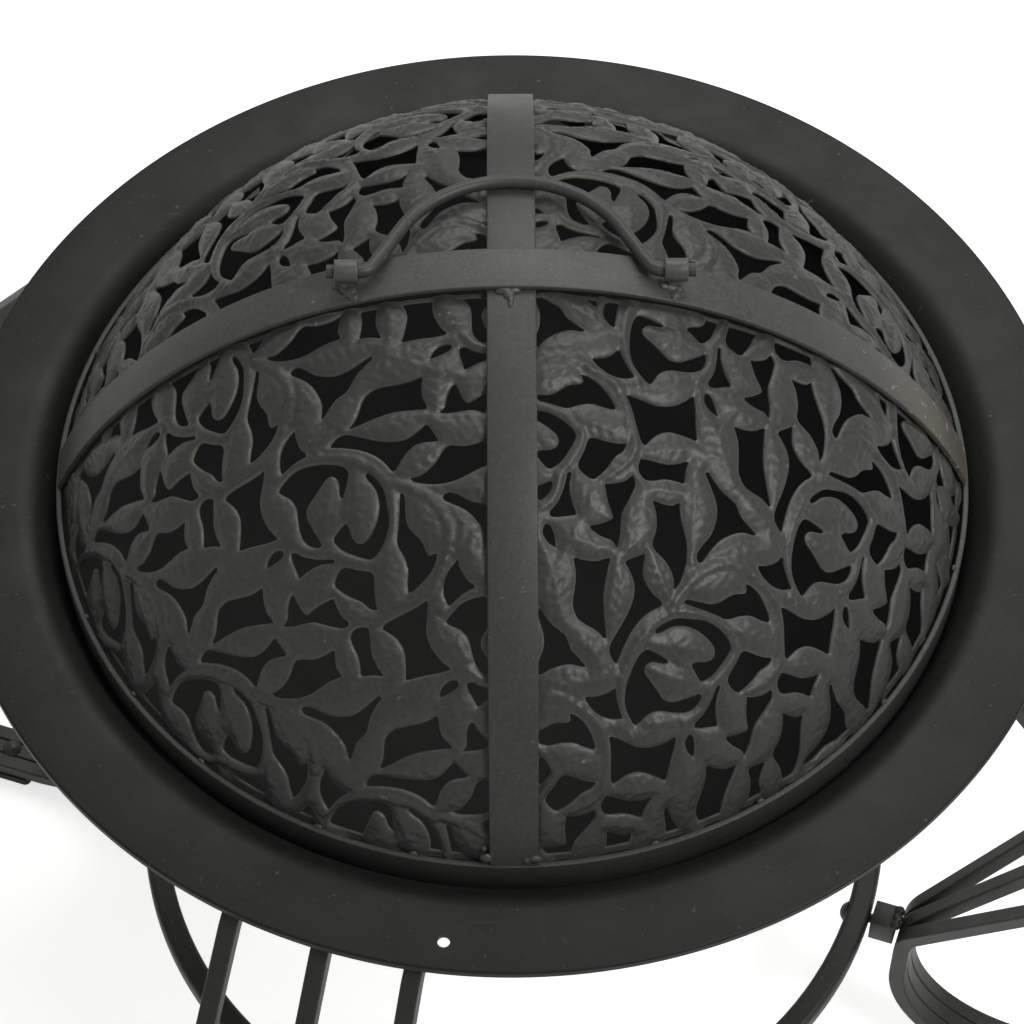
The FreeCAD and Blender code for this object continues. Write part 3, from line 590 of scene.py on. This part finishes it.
def smooth_ring(points, cuts=3):
    """Points along a smooth closed curve through given ones; sharp turns stay pointed."""
    points = np.array(points)
    runs = np.roll(points, -1, 0) - points
    runs /= np.linalg.norm(runs, axis=1)[:, None]
    pointed = (runs * np.roll(runs, 1, 0)).sum(1) < POINTED
    ring = []
    for index, start in enumerate(points):
        before, end, after = (points[(index + step) % len(points)] for step in (-1, 1, 2))
        if pointed[index]:
            before = 2 * start - end
        if pointed[(index + 1) % len(points)]:
            after = 2 * end - start
        for share in np.arange(cuts) / cuts:
            ring.append(0.5 * (2 * start + (end - before) * share
                               + (2 * before - 5 * start + 4 * end - after) * share**2
                               + (3 * start - before - 3 * end + after) * share**3))
    return np.array(ring)


def crop_pixel(crop, point):
    left, top, scale = crop
    return left + point[0] / scale, top + point[1] / scale


gap_rings = [smooth_ring([pixel_on_sheet(crop_pixel(crop, point), FRONT_LEFT) for point in outline])
             for crop, outline in GAPS]
stem_lines = [np.array([pixel_on_sheet(crop_pixel(crop, point), FRONT_LEFT) for point in line])
              for crop, line in STEMS + (BUD_GROOVE,)]
leaf_lines = [(pixel_on_sheet(base, FRONT_LEFT), pixel_on_sheet(tip, FRONT_LEFT)) for base, tip in LEAVES]


def outside_gap(points, ring):
    """Distance from a gap's outline, negative inside the gap."""
    middle = (ring.min(0) + ring.max(0)) / 2
    offset = from_nearest(points, middle)
    distance = np.full(len(points), FAR)
    inside = np.zeros(len(points), bool)
    reach = np.abs(ring - middle).max(0) + RELIEF_REACH
    near = (np.abs(offset) < reach).all(1)
    close = offset[near]
    best = np.full(len(close), FAR**2)
    odd = np.zeros(len(close), bool)
    for start, end in zip(ring - middle, np.roll(ring, -1, 0) - middle):
        run = end - start
        share = np.clip((close - start) @ run / (run @ run), 0, 1)
        gap = close - start - share[:, None] * run
        best = np.minimum(best, (gap**2).sum(1))
        crossed = (start[1] > close[:, 1]) != (end[1] > close[:, 1])
        if run[1] != 0:
            odd ^= crossed & (close[:, 0] < start[0] + run[0] * (close[:, 1] - start[1]) / run[1])
    distance[near] = np.sqrt(best)
    inside[near] = odd
    return np.where(inside, -distance, distance)


def along_line(points, line):
    """Distance from a line of the pattern."""
    middle = (line.min(0) + line.max(0)) / 2
    offset = from_nearest(points, middle)
    best = np.full(len(points), FAR**2)
    for start, end in zip(line - middle, line[1:] - middle):
        run = end - start
        share = np.clip((offset - start) @ run / (run @ run), 0, 1)
        best = np.minimum(best, ((offset - start - share[:, None] * run)**2).sum(1))
    return np.sqrt(best)


def rib_at(points, base, tip):
    """Height of a leaf's rib and of the dents beside it."""
    axis = tip - base
    length = np.linalg.norm(axis)
    along = axis / length
    offset = from_nearest(points, (base + tip) / 2)
    share = offset @ along / length + 0.5
    side = offset @ np.array((-along[1], along[0]))
    within = np.clip(4 * share * (1 - share), 0, 1)
    rib = RIB_RELIEF * within**0.5 * np.exp(-(side / RIB_WIDTH)**2)
    vein = np.sin(math.tau * (share * length - VEIN_LEAN * np.abs(side)) / DENT_SIZE)
    return rib + DENT_RELIEF * within * np.exp(-((np.abs(side) - DENT_PLACE) / DENT_WIDTH)**2) * vein


def sheet_pattern(points, phase, way):
    """Depth inside the metal (negative in a gap) and relief at points of the flat sheet."""
    moved = way * (points - phase)
    depth = np.full(len(points), RELIEF_REACH)
    for ring in gap_rings:
        depth = np.minimum(depth, outside_gap(moved, ring))
    swell = np.clip(depth / RELIEF_REACH, 0, 1)
    relief = RELIEF * (np.sqrt(1 - (1 - swell)**2) + swell) / 2
    fade = np.clip(depth / RELIEF_FADE, 0, 1)
    for line in stem_lines[:-1]:
        away = along_line(moved, line)
        relief += CORD_RELIEF * np.exp(-(away / CORD_WIDTH)**2)
        relief -= fade * GROOVE_RELIEF * np.exp(-((away - GROOVE_REACH) / GROOVE_WIDTH)**2)
    relief -= GROOVE_RELIEF * np.exp(-(along_line(moved, stem_lines[-1]) / GROOVE_WIDTH)**2)
    for base, tip in leaf_lines:
        relief += fade * rib_at(moved, base, tip)
    for index in np.flatnonzero(depth > 0):
        spot = Vector((*points[index], 0))
        dents = noise.noise(spot / HAMMER_SIZE) + noise.noise(2 * spot / HAMMER_SIZE) / 2
        relief[index] += HAMMER_RELIEF * fade[index] * dents
    return depth, relief


# Cutting of a panel, in millimetres of the flat sheet
SHEET_LOW = np.array((-205.0, -150.0))
SHEET_HIGH = np.array((205.0, 185.0))
CELL = 1.3
PANEL_EDGE = 10.5
STRAP_STRIP = 2.2
HOOP_STRIP = 3.5
SNAP_SHARE = 0.14
BORDER_DROP = 0.25
BORDER_WIDTH = 3.0
BORDER_SLOPE = 0.4
# reach of the lightened gap edges, in millimetres: wear and a painted highlight
EDGE_WEAR_AND_HIGHLIGHT = 1.0
SHEET_WALL = 1.2 * MM


def keep_largest(bm):
    """Leaves out crumbs of the sheet that touch nothing."""
    islands = []
    waiting = set(bm.verts)
    while waiting:
        island = {waiting.pop()}
        border = list(island)
        while border:
            for edge in border.pop().link_edges:
                for vert in edge.verts:
                    if vert in waiting:
                        waiting.remove(vert)
                        island.add(vert)
                        border.append(vert)
        islands.append(island)
    islands.sort(key=len)
    loose = [vert for island in islands[:-1] for vert in island]
    bmesh.ops.delete(bm, geom=loose, context="VERTS")


def make_panel(name, turn, way, mark, pixel):
    """A quarter of the dome: the flat sheet pierced along its pattern, embossed and bent to the dome.

    Way is -1 where the pattern stands on its head. The pixel shows the same spot of the pattern as the mark.
    """
    bearing = math.radians(turn)
    phase = pixel_on_sheet(pixel, bearing) - way * pixel_on_sheet(mark, FRONT_LEFT)
    outward, sideways, upward = panel_axes(bearing)
    radius = DOME_RADIUS / MM
    counts = np.ceil((SHEET_HIGH - SHEET_LOW) / CELL).astype(int)
    bm = bmesh.new()
    middle = (SHEET_LOW + SHEET_HIGH) / 2
    place = Matrix.Translation((*middle, 0)) @ Matrix.Diagonal((*(counts * CELL / 2), 1, 1))
    bmesh.ops.create_grid(bm, x_segments=int(counts[0]), y_segments=int(counts[1]), size=1, matrix=place)

    def on_dome(points):
        """Unit normals of the dome at points of the sheet."""
        reach = np.maximum(np.hypot(points[:, 0], points[:, 1]), 1e-9)
        angle = reach / radius
        toward = (points[:, :1] * sideways + points[:, 1:] * upward) / reach[:, None]
        return np.cos(angle)[:, None] * outward + np.sin(angle)[:, None] * toward

    def edges_at(points):
        """Distance inside the strap edges and above the hoop edge, in millimetres."""
        normal = on_dome(points) * radius
        first = normal @ np.array((math.cos(bearing - math.pi / 4), math.sin(bearing - math.pi / 4), 0))
        second = normal @ np.array((math.cos(bearing + math.pi / 4), math.sin(bearing + math.pi / 4), 0))
        above = normal[:, 2] - (dome_base - DOME_CENTRE.z) / MM
        return np.minimum(first, second) - PANEL_EDGE, above

    def metal_at(points):
        depth, relief = sheet_pattern(points, phase, way)
        strap, hoop = edges_at(points)
        depth = np.maximum(depth, np.maximum(STRAP_STRIP - strap, HOOP_STRIP - hoop))
        return np.minimum(depth, np.minimum(strap, hoop)), relief, np.minimum(strap, hoop)

    points = np.array([vert.co[:2] for vert in bm.verts])
    beyond = np.minimum(*edges_at(points)) < -2 * CELL
    bmesh.ops.delete(bm, geom=[vert for vert, away in zip(bm.verts, beyond) if away], context="VERTS")
    depth = metal_at(np.array([vert.co[:2] for vert in bm.verts]))[0]
    depth_of = dict(zip(bm.verts, depth))

    # corners that lie close to an outline move onto it, and the other crossed edges are split there
    for edge in bm.edges:
        start, end = edge.verts
        a, b = depth_of[start], depth_of[end]
        if a * b < 0:
            share = a / (a - b)
            if share < SNAP_SHARE:
                start.co = start.co.lerp(end.co, share)
                depth_of[start] = 0.0
            elif share > 1 - SNAP_SHARE:
                end.co = start.co.lerp(end.co, share)
                depth_of[end] = 0.0
    for edge in list(bm.edges):
        start, end = edge.verts
        a, b = depth_of[start], depth_of[end]
        if a * b < 0:
            new_vert = bmesh.utils.edge_split(edge, start, a / (a - b))[1]
            depth_of[new_vert] = 0.0
    on_line = [vert for vert in bm.verts if depth_of[vert] == 0.0]
    bmesh.ops.connect_verts(bm, verts=on_line)
    gaps = [face for face in bm.faces if min(depth_of[vert] for vert in face.verts) < 0
            or max(depth_of[vert] for vert in face.verts) <= 0]
    bmesh.ops.delete(bm, geom=gaps, context="FACES")

    keep_largest(bm)
    points = np.array([vert.co[:2] for vert in bm.verts])
    depth, relief, border = metal_at(points)
    ceiling = np.maximum(border - BORDER_WIDTH, 0) * BORDER_SLOPE - BORDER_DROP
    height = np.minimum(relief - SHEET_DROP, ceiling)
    normals = on_dome(points)
    shape = np.array(DOME_CENTRE) + normals * ((radius + height) * MM)[:, None]
    # edge_share lightens the edges of the gaps: wear and a painted highlight along them
    rim = bm.verts.layers.float.new("edge_share")
    for vert, spot, inside in zip(bm.verts, shape, depth):
        vert.co = spot
        vert[rim] = max(0.0, 1 - max(inside, 0) / EDGE_WEAR_AND_HIGHLIGHT)
    inner = bmesh.ops.extrude_face_region(bm, geom=bm.faces[:], use_keep_orig=True)["geom"]
    for vert in inner:
        if isinstance(vert, bmesh.types.BMVert):
            vert.co += (DOME_CENTRE - vert.co).normalized() * SHEET_WALL
    make_piece(name, bm, PANEL_PAINT, "screen", ("screen_" + name,), sharp=50)


BUD = (327.4, 507)
BUD_NOTCH = (340.7, 500.5)
BUD_MIDDLE = (336.7, 511.3)
make_panel("panel_front_left", 225, 1, BUD, BUD)
make_panel("panel_front_right", 315, 1, BUD, (830, 547))
make_panel("panel_back_right", 45, -1, BUD_NOTCH, (614.7, 199.4))
make_panel("panel_back_left", 135, -1, BUD_MIDDLE, (257.1, 227.8))

# Knuckle tubes of the bail, and welds
KNUCKLE_WALL = 2.5 * MM
TUBE_EDGE = 0.5 * MM
TUBE_STEPS = 48
BED_LENGTH_SHARE = 0.42
BED_HALF = 4.2 * MM
LUMP_ROUGHNESS = 0.22
LUMP_WAVES = 1.7


def add_lump(bm, centre, up, halves, seed):
    """Lumpy bead of weld metal; halves are its half sizes along X, across and upward, in metres."""
    across = up.cross(Vector((1, 0, 0))).normalized()
    along = across.cross(up).normalized()
    turn = Matrix((along, across, up)).transposed().to_4x4()
    place = Matrix.Translation(centre) @ turn @ Matrix.Diagonal((*halves, 1))
    lump = bmesh.ops.create_icosphere(bm, subdivisions=3, radius=1)["verts"]
    for vert in lump:
        swell = 1 + LUMP_ROUGHNESS * noise.noise(vert.co * LUMP_WAVES + Vector((seed, 0, 0)))
        vert.co = place @ (vert.co * swell)


def make_knuckle(name):
    """Short tube on a bed of weld metal."""
    low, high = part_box("handle_" + name)
    outer = high.y
    axis = Vector((0, 0, high.z - outer))
    profile = rounded_box_profile(low.x, high.x, outer - KNUCKLE_WALL, outer, TUBE_EDGE)

    def place(x, radius):
        return axis + Vector((x, 0, radius))

    bm = spun(profile, place, (axis, Vector((1, 0, 0))), math.tau, TUBE_STEPS, True)
    middle = (low.x + high.x) / 2
    bed_top = axis.z - outer + KNUCKLE_WALL
    halves = Vector(((high.x - low.x) * BED_LENGTH_SHARE, BED_HALF, (bed_top - low.z) / 2))
    add_lump(bm, Vector((middle, 0, (low.z + bed_top) / 2)), Z_LINE[1], halves, middle)
    make_piece(name, bm, HIGHLIT_KNUCKLE_PAINT, "screen", ("handle_" + name,))


make_knuckle("knuckle_left")
make_knuckle("knuckle_right")

# Weld beads read in the photograph: pixel, sphere they sit on, and half sizes in millimetres
# along X, across and upward
CROSSING = (((504, 291), LOWER_STRAP, (4.6, 2.4, 2.6)), ((513, 291), LOWER_STRAP, (4.4, 2.2, 2.4)),
            ((509, 295), LOWER_STRAP, (3.0, 3.0, 2.0)), ((511, 300), LOWER_STRAP, (1.8, 3.0, 1.4)),
            ((510, 305), LOWER_STRAP, (1.2, 1.5, 0.9)), ((503, 253), LOWER_STRAP, (4.5, 2.2, 2.4)))
LEFT_BED = (((339, 285), UPPER_STRAP, (3.6, 3.0, 2.0)), ((346, 288), UPPER_STRAP, (4.0, 4.0, 2.4)),
            ((350, 292), UPPER_STRAP, (3.6, 4.0, 2.6)), ((354, 297), UPPER_STRAP, (2.6, 3.0, 1.8)))
RIGHT_BED = (((664, 285), UPPER_STRAP, (3.0, 3.0, 2.0)), ((671, 286), UPPER_STRAP, (4.4, 4.0, 2.4)),
             ((679, 287), UPPER_STRAP, (3.0, 3.4, 2.0)), ((675, 293), UPPER_STRAP, (3.0, 3.6, 1.8)),
             ((674, 298), UPPER_STRAP, (1.6, 2.2, 1.2)))
STRAP_FOOT = (((486, 858), LOWER_STRAP, (3.2, 2.8, 1.6)), ((484, 849), LOWER_STRAP, (1.4, 1.6, 0.9)),
              ((535, 859), LOWER_STRAP, (3.6, 2.4, 1.6)), ((527, 861), LOWER_STRAP, (2.2, 1.8, 1.2)))
HOOP_TACK_TURNS = (18, 41, 66, 112, 139, 161, 203, 216, 229, 246, 258, 287, 301, 322, 344)
HOOP_TACK = Vector((2.2, 1.6, 1.1)) * MM


def make_welds():
    bm = bmesh.new()
    for seed, (pixel, sphere, halves) in enumerate(CROSSING + LEFT_BED + RIGHT_BED + STRAP_FOOT):
        up = Vector(pixel_normal(pixel, sphere))
        add_lump(bm, DOME_CENTRE + up * sphere, up, Vector(halves) * MM, 3 * seed)
    for turn in HOOP_TACK_TURNS:
        spot = Matrix.Rotation(math.radians(turn), 3, "Z") @ Vector((HOOP_RADIUS - STRAP_SHEET, 0, HOOP_TOP))
        add_lump(bm, spot, (spot - DOME_CENTRE).normalized(), HOOP_TACK, turn)
    make_piece("screen_welds", bm, WELD_PAINT, "screen", sharp=80)


make_welds()

# Brackets between ring and legs, closed on top, with weld metal where they meet the bars
BRACKET_WIDTH = 17 * MM
BRACKET_HEIGHT = 20 * MM
BRACKET_EDGE = 0.8 * MM
WAIST_LUMP = Vector((3.4, 3.4, 2.6)) * MM
WAIST_SPREAD = 5 * MM


def make_bracket(name):
    """Narrow box from the ring to the bars of a leg."""
    low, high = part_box(name)
    middle, size = (low + high) / 2, high - low
    outward = Vector((middle.x, middle.y, 0)).normalized()
    across = Vector((-outward.y, outward.x, 0))
    length = abs(size.dot(outward))
    bm = bmesh.new()
    turn = Matrix((outward, across, (0, 0, 1))).transposed().to_4x4()
    shape = Matrix.Diagonal((length, BRACKET_WIDTH, BRACKET_HEIGHT, 1))
    bmesh.ops.create_cube(bm, size=1, matrix=Matrix.Translation(middle) @ turn @ shape)
    bmesh.ops.bevel(bm, geom=bm.edges[:], offset=BRACKET_EDGE, segments=2, affect="EDGES", profile=0.5)
    tip = middle + outward * length / 2 + Vector((0, 0, BRACKET_HEIGHT / 2))
    for step in (-1, 0, 1):
        spot = tip + across * (step * WAIST_SPREAD)
        add_lump(bm, spot, Z_LINE[1], WAIST_LUMP, step + 7 * middle.x)
    make_piece(name + "_box", bm, STAND_PAINT, "stand", (name,))


for leg in ("right", "back", "left", "front"):
    make_bracket(leg + "_leg_bracket")

# Stage: pale floor, soft light and the camera
FLOOR_HALF = 60.0
FLOOR_GLOW = 0.65
# share of the floor's glow that reflections see
MIRRORED_SHARE = 0.5
WORLD_LIGHT = 0.30
LIGHT_TINT = (1.0, 1.0, 0.955, 1.0)
LIGHT_TARGET = Vector((0, 0, 0.5))


def make_floor():
    bm = bmesh.new()
    bmesh.ops.create_grid(bm, x_segments=1, y_segments=1, size=FLOOR_HALF)
    mesh = bpy.data.meshes.new("floor")
    bm.to_mesh(mesh)
    bm.free()
    material = bpy.data.materials.new("floor_white")
    material.use_nodes = True
    tree = material.node_tree
    shader = tree.nodes["Principled BSDF"]
    shader.inputs["Roughness"].default_value = 0.9
    shader.inputs["Specular IOR Level"].default_value = 0.1
    place = tree.nodes.new("ShaderNodeTexCoord").outputs["Object"]
    mottle = noise_node(tree, place, 3.0, 3.0, 0.5)
    pale = mixed(tree, mottle, grey(0.88, 1.0), grey(0.90, 1.0))
    tree.links.new(pale, shader.inputs["Base Color"])
    path = tree.nodes.new("ShaderNodeLightPath")
    mirrored = math_node(tree, "MULTIPLY", path.outputs["Is Glossy Ray"], MIRRORED_SHARE)
    seen = math_node(tree, "MAXIMUM", path.outputs["Is Camera Ray"], mirrored)
    shader.inputs["Emission Color"].default_value = (1, 1, 1, 1)
    tree.links.new(math_node(tree, "MULTIPLY", seen, FLOOR_GLOW), shader.inputs["Emission Strength"])
    mesh.materials.append(material)
    floor = bpy.data.objects.new("floor", mesh)
    bpy.context.scene.collection.objects.link(floor)


def make_light(name, place, size, power):
    light = bpy.data.lights.new(name, "AREA")
    light.shape = "DISK"
    light.size = size
    light.energy = power
    light.color = LIGHT_TINT[:3]
    lamp = bpy.data.objects.new(name, light)
    lamp.location = place
    lamp.rotation_euler = (LIGHT_TARGET - Vector(place)).to_track_quat("-Z", "Y").to_euler()
    bpy.context.scene.collection.objects.link(lamp)


def make_world():
    """Even light all round, which the camera sees as white."""
    world = bpy.data.worlds.new("studio")
    world.use_nodes = True
    tree = world.node_tree
    background = tree.nodes["Background"]
    background.inputs["Color"].default_value = LIGHT_TINT
    seen = tree.nodes.new("ShaderNodeLightPath").outputs["Is Camera Ray"]
    tree.links.new(ramp(tree, seen, 0.0, 1.0, WORLD_LIGHT, 1.0), background.inputs["Strength"])
    bpy.context.scene.world = world


def make_camera():
    right, up, forward = camera_axes()
    camera = bpy.data.cameras.new("camera")
    camera.sensor_width = SENSOR
    camera.lens = FOCAL * SENSOR / PHOTO_SIDE
    camera.dof.use_dof = False
    viewer = bpy.data.objects.new("camera", camera)
    turn = Matrix((right, up, -forward)).transposed().to_4x4()
    viewer.matrix_world = Matrix.Translation(CAMERA_PLACE) @ turn
    bpy.context.scene.collection.objects.link(viewer)
    bpy.context.scene.camera = viewer


make_floor()
make_world()
make_light("back_softbox", place=(0.3, 1.8, 2.8), size=2.4, power=34)
make_light("right_softbox", place=(1.2, -0.8, 2.4), size=0.9, power=24)
make_camera()
bpy.context.scene.view_settings.view_transform = "Standard"
